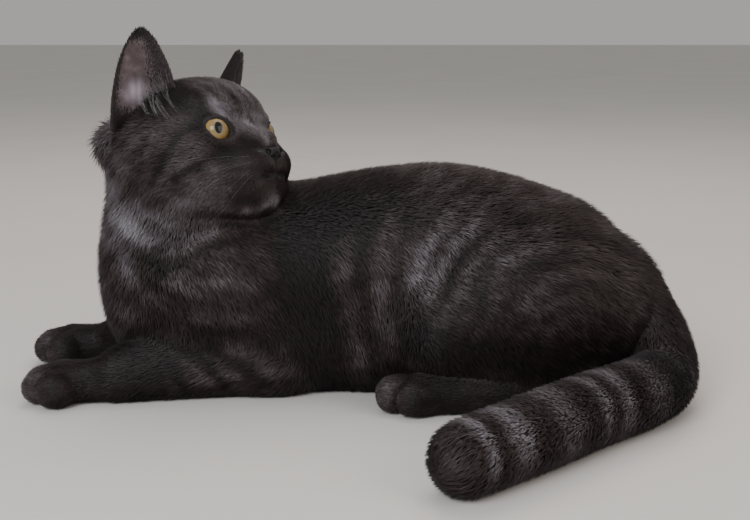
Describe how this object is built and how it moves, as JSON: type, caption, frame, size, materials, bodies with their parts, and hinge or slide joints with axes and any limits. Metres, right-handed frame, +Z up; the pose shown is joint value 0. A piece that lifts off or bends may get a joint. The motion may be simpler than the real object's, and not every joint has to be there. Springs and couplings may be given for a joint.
{
  "type": "lying cat",
  "caption": "Life-size still model of a young short-haired cat, lying on its belly with forelegs stretched ahead, head turned back over its left shoulder and tail curled along its side.",
  "frame": {"origin": "on the floor, under the middle of the cat's overall box", "axes": "the cat's body points along -X and its left side faces -Y; +Z is up"},
  "size_m": [0.4502, 0.2956, 0.2371],
  "materials": {
    "coat": "short dense soft fur, very dark smoky grey with faint darker tabby stripes and a silvery undercoat",
    "eye": "wet clear cornea over an amber iris with a dark oval pupil",
    "nose_leather": "fine-grained, slightly moist black nose skin",
    "skin": "bare brownish-pink skin inside the ears and dark lid rims",
    "whisker": "stiff pale whiskers and brow hairs"
  },
  "bodies": {
    "root": {"trunk": "coat", "neck": "coat", "head": "coat", "ear_left": "coat", "ear_right": "coat", "eye_left": "eye", "eye_right": "eye", "nose": "nose_leather", "foreleg_left": "coat", "foreleg_right": "coat", "forepaw_left": "coat", "forepaw_right": "coat", "hindleg_left": "coat", "hindleg_right": "coat", "hindpaw_left": "coat", "hindpaw_right": "coat", "tail_base": "coat", "tail_middle": "coat", "tail_tip": "coat"}
  },
  "joints": []
}
